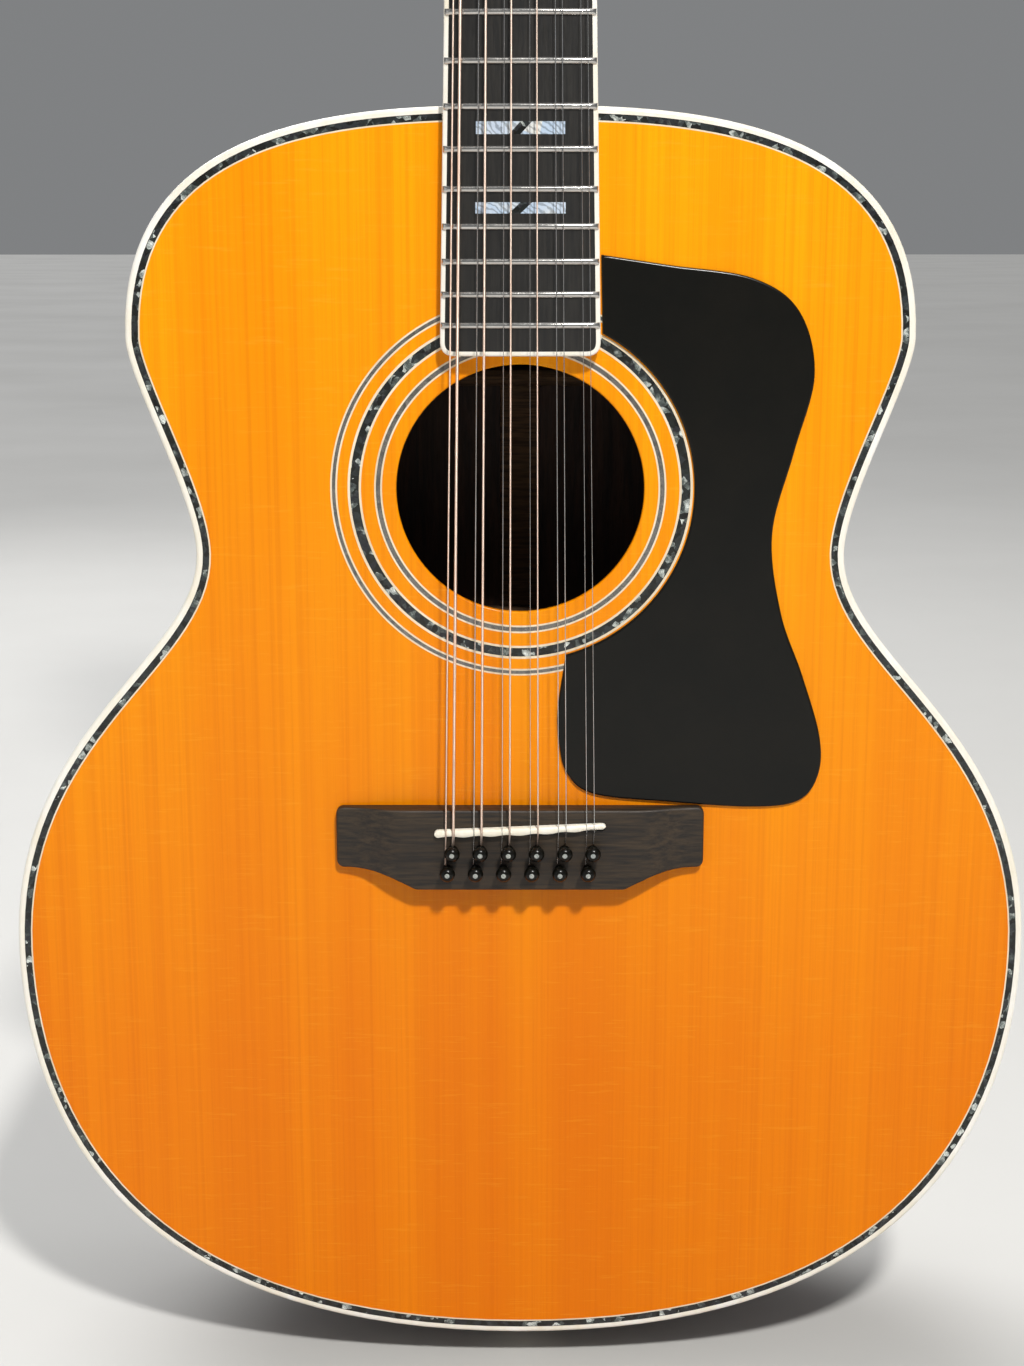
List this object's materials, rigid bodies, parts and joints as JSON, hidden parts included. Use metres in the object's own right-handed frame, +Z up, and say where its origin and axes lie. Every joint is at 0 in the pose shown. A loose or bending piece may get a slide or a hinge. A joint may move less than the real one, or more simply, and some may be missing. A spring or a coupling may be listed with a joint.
{
  "type": "acoustic guitar",
  "caption": "Jumbo acoustic guitar with paired strings, an amber spruce top with a bound edge, a black pickguard, a round soundhole, an ebony bridge and fingerboard, and geared tuners.",
  "frame": {"origin": "centre of the end pin's flat outer face, the guitar's lowest point when it is upright", "axes": "+Z up the neck to the headstock, the soundboard faces -Y, and the bass side is -X"},
  "size_m": [0.431, 0.1443, 1.1164],
  "materials": {
    "amber_spruce": "high gloss lacquer",
    "rosewood": "high gloss lacquer",
    "mahogany": "gloss lacquer",
    "ebony": "satin, oiled",
    "bare_spruce": "bare, unfinished",
    "maple": "bare, unfinished",
    "binding": "gloss",
    "bone": "polished",
    "black_plastic": "high gloss",
    "gold": "gold plated, polished",
    "gold_post": "gold plated, polished",
    "steel": "machined",
    "plain_string": "drawn wire",
    "bronze_string": "wound wire"
  },
  "bodies": {
    "root": {"soundboard": "amber_spruce", "back_plate": "rosewood", "sides": "rosewood", "top_binding": "binding", "back_binding": "binding", "top_lining": "bare_spruce", "back_lining": "bare_spruce", "neck_block": "mahogany", "tail_block": "mahogany", "top_bracing": "bare_spruce", "bridge_plate": "maple", "bridge": "ebony", "saddle": "bone", "fingerboard": "ebony", "nut": "bone", "pickguard": "black_plastic", "neck": "mahogany", "heel_cap": "ebony", "truss_rod": "steel", "headstock_veneer": "ebony", "truss_rod_cover": "black_plastic", "end_pin": "ebony", "bass_tuner_covers": "gold", "treble_tuner_covers": "gold", "low_e_octave_string": "bronze_string", "low_e_string": "bronze_string", "a_octave_string": "plain_string", "a_string": "bronze_string", "d_octave_string": "plain_string", "d_string": "bronze_string", "g_octave_string": "plain_string", "g_string": "bronze_string", "b_left_string": "plain_string", "b_right_string": "plain_string", "high_e_left_string": "plain_string", "high_e_right_string": "plain_string"},
    "bass_post_1": {"bass_post_1": "gold_post"},
    "bass_knob_1": {"bass_knob_1": "gold"},
    "bass_post_2": {"bass_post_2": "gold_post"},
    "bass_knob_2": {"bass_knob_2": "gold"},
    "bass_post_3": {"bass_post_3": "gold_post"},
    "bass_knob_3": {"bass_knob_3": "gold"},
    "bass_post_4": {"bass_post_4": "gold_post"},
    "bass_knob_4": {"bass_knob_4": "gold"},
    "bass_post_5": {"bass_post_5": "gold_post"},
    "bass_knob_5": {"bass_knob_5": "gold"},
    "bass_post_6": {"bass_post_6": "gold_post"},
    "bass_knob_6": {"bass_knob_6": "gold"},
    "treble_post_1": {"treble_post_1": "gold_post"},
    "treble_knob_1": {"treble_knob_1": "gold"},
    "treble_post_2": {"treble_post_2": "gold_post"},
    "treble_knob_2": {"treble_knob_2": "gold"},
    "treble_post_3": {"treble_post_3": "gold_post"},
    "treble_knob_3": {"treble_knob_3": "gold"},
    "treble_post_4": {"treble_post_4": "gold_post"},
    "treble_knob_4": {"treble_knob_4": "gold"},
    "treble_post_5": {"treble_post_5": "gold_post"},
    "treble_knob_5": {"treble_knob_5": "gold"},
    "treble_post_6": {"treble_post_6": "gold_post"},
    "treble_knob_6": {"treble_knob_6": "gold"}
  },
  "joints": [
    {"name": "bass_knob_1_turn", "type": "hinge", "parent": "root", "child": "bass_knob_1", "pos_m": [-0.024, -0.03364, 0.95284], "axis": [-1, 0, 0], "continuous": true},
    {"name": "bass_post_1_turn", "type": "hinge", "parent": "root", "child": "bass_post_1", "pos_m": [-0.024, -0.03927, 0.94761], "axis": [0, 0.9703, -0.2419], "continuous": true},
    {"name": "bass_knob_2_turn", "type": "hinge", "parent": "root", "child": "bass_knob_2", "pos_m": [-0.02455, -0.02711, 0.97904], "axis": [-1, 0, 0], "continuous": true},
    {"name": "bass_post_2_turn", "type": "hinge", "parent": "root", "child": "bass_post_2", "pos_m": [-0.02455, -0.03274, 0.9738], "axis": [0, 0.9703, -0.2419], "continuous": true},
    {"name": "bass_knob_3_turn", "type": "hinge", "parent": "root", "child": "bass_knob_3", "pos_m": [-0.0251, -0.02057, 1.00524], "axis": [-1, 0, 0], "continuous": true},
    {"name": "bass_post_3_turn", "type": "hinge", "parent": "root", "child": "bass_post_3", "pos_m": [-0.0251, -0.02621, 1], "axis": [0, 0.9703, -0.2419], "continuous": true},
    {"name": "bass_knob_4_turn", "type": "hinge", "parent": "root", "child": "bass_knob_4", "pos_m": [-0.02565, -0.01404, 1.03143], "axis": [-1, 0, 0], "continuous": true},
    {"name": "bass_post_4_turn", "type": "hinge", "parent": "root", "child": "bass_post_4", "pos_m": [-0.02565, -0.01968, 1.0262], "axis": [0, 0.9703, -0.2419], "continuous": true},
    {"name": "bass_knob_5_turn", "type": "hinge", "parent": "root", "child": "bass_knob_5", "pos_m": [-0.0262, -0.00751, 1.05763], "axis": [-1, 0, 0], "continuous": true},
    {"name": "bass_post_5_turn", "type": "hinge", "parent": "root", "child": "bass_post_5", "pos_m": [-0.0262, -0.01314, 1.0524], "axis": [0, 0.9703, -0.2419], "continuous": true},
    {"name": "bass_knob_6_turn", "type": "hinge", "parent": "root", "child": "bass_knob_6", "pos_m": [-0.02675, -0.00098, 1.08383], "axis": [-1, 0, 0], "continuous": true},
    {"name": "bass_post_6_turn", "type": "hinge", "parent": "root", "child": "bass_post_6", "pos_m": [-0.02675, -0.00661, 1.0786], "axis": [0, 0.9703, -0.2419], "continuous": true},
    {"name": "treble_knob_1_turn", "type": "hinge", "parent": "root", "child": "treble_knob_1", "pos_m": [0.024, -0.03364, 0.95284], "axis": [1, 0, 0], "continuous": true},
    {"name": "treble_post_1_turn", "type": "hinge", "parent": "root", "child": "treble_post_1", "pos_m": [0.024, -0.03927, 0.94761], "axis": [0, 0.9703, -0.2419], "continuous": true},
    {"name": "treble_knob_2_turn", "type": "hinge", "parent": "root", "child": "treble_knob_2", "pos_m": [0.02455, -0.02711, 0.97904], "axis": [1, 0, 0], "continuous": true},
    {"name": "treble_post_2_turn", "type": "hinge", "parent": "root", "child": "treble_post_2", "pos_m": [0.02455, -0.03274, 0.9738], "axis": [0, 0.9703, -0.2419], "continuous": true},
    {"name": "treble_knob_3_turn", "type": "hinge", "parent": "root", "child": "treble_knob_3", "pos_m": [0.0251, -0.02057, 1.00524], "axis": [1, 0, 0], "continuous": true},
    {"name": "treble_post_3_turn", "type": "hinge", "parent": "root", "child": "treble_post_3", "pos_m": [0.0251, -0.02621, 1], "axis": [0, 0.9703, -0.2419], "continuous": true},
    {"name": "treble_knob_4_turn", "type": "hinge", "parent": "root", "child": "treble_knob_4", "pos_m": [0.02565, -0.01404, 1.03143], "axis": [1, 0, 0], "continuous": true},
    {"name": "treble_post_4_turn", "type": "hinge", "parent": "root", "child": "treble_post_4", "pos_m": [0.02565, -0.01968, 1.0262], "axis": [0, 0.9703, -0.2419], "continuous": true},
    {"name": "treble_knob_5_turn", "type": "hinge", "parent": "root", "child": "treble_knob_5", "pos_m": [0.0262, -0.00751, 1.05763], "axis": [1, 0, 0], "continuous": true},
    {"name": "treble_post_5_turn", "type": "hinge", "parent": "root", "child": "treble_post_5", "pos_m": [0.0262, -0.01314, 1.0524], "axis": [0, 0.9703, -0.2419], "continuous": true},
    {"name": "treble_knob_6_turn", "type": "hinge", "parent": "root", "child": "treble_knob_6", "pos_m": [0.02675, -0.00098, 1.08383], "axis": [1, 0, 0], "continuous": true},
    {"name": "treble_post_6_turn", "type": "hinge", "parent": "root", "child": "treble_post_6", "pos_m": [0.02675, -0.00661, 1.0786], "axis": [0, 0.9703, -0.2419], "continuous": true}
  ],
  "couplings": [
    {"joint": "bass_post_1_turn", "follows": "bass_knob_1_turn", "ratio": -0.071429},
    {"joint": "bass_post_2_turn", "follows": "bass_knob_2_turn", "ratio": -0.071429},
    {"joint": "bass_post_3_turn", "follows": "bass_knob_3_turn", "ratio": -0.071429},
    {"joint": "bass_post_4_turn", "follows": "bass_knob_4_turn", "ratio": -0.071429},
    {"joint": "bass_post_5_turn", "follows": "bass_knob_5_turn", "ratio": -0.071429},
    {"joint": "bass_post_6_turn", "follows": "bass_knob_6_turn", "ratio": -0.071429},
    {"joint": "treble_post_1_turn", "follows": "treble_knob_1_turn", "ratio": -0.071429},
    {"joint": "treble_post_2_turn", "follows": "treble_knob_2_turn", "ratio": -0.071429},
    {"joint": "treble_post_3_turn", "follows": "treble_knob_3_turn", "ratio": -0.071429},
    {"joint": "treble_post_4_turn", "follows": "treble_knob_4_turn", "ratio": -0.071429},
    {"joint": "treble_post_5_turn", "follows": "treble_knob_5_turn", "ratio": -0.071429},
    {"joint": "treble_post_6_turn", "follows": "treble_knob_6_turn", "ratio": -0.071429}
  ]
}
